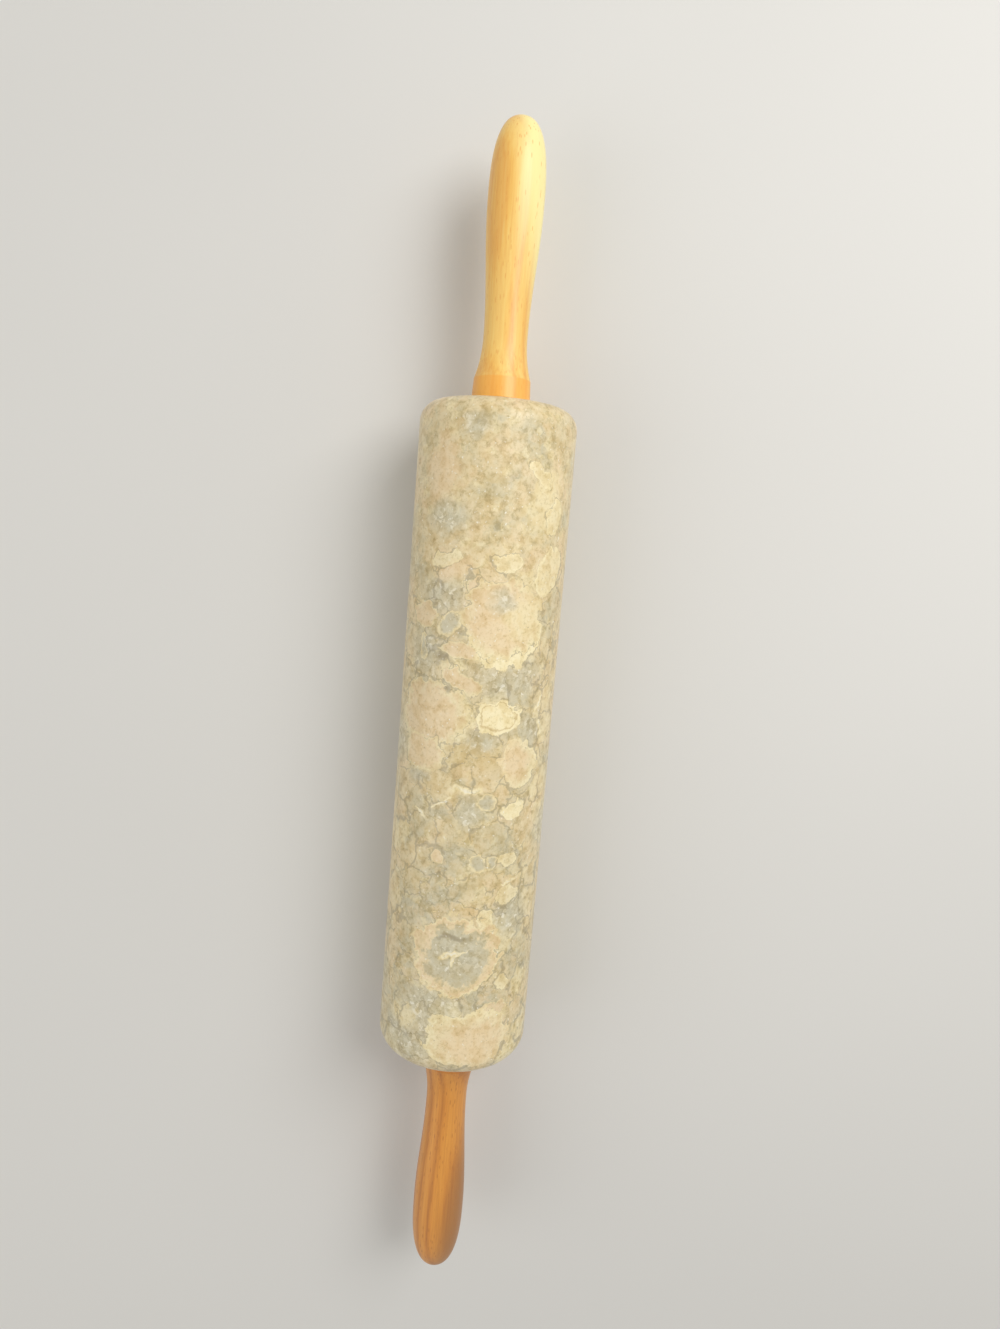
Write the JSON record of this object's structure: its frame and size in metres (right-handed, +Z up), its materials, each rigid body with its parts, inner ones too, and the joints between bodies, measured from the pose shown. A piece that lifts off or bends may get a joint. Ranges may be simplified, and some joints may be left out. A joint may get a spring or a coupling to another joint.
{
  "type": "marble rolling pin",
  "caption": "Rolling pin with a heavy polished stone barrel that turns freely on a steel axle between turned wooden handles.",
  "frame": {"origin": "on the surface the pin lies on, under the middle of the barrel", "axes": "+X along the axle towards the right handle, +Z up from the surface, +Y across the pin"},
  "size_m": [0.4566, 0.059, 0.059],
  "materials": {
    "marble": "polished fossil marble, beige and grey",
    "steel": "drawn bar",
    "nylon": "turned natural nylon",
    "brass": "machined",
    "beech": "turned and lacquered"
  },
  "bodies": {
    "handles": {"axle_rod": "steel", "left_washer": "nylon", "right_washer": "nylon", "left_insert": "brass", "right_insert": "brass", "left_handle": "beech", "right_handle": "beech"},
    "barrel": {"marble_barrel": "marble", "left_bush": "nylon", "right_bush": "nylon"}
  },
  "joints": [
    {"name": "barrel_spin", "type": "hinge", "parent": "handles", "child": "barrel", "pos_m": [0, 0, 0.0295], "axis": [1, 0, 0], "continuous": true}
  ]
}
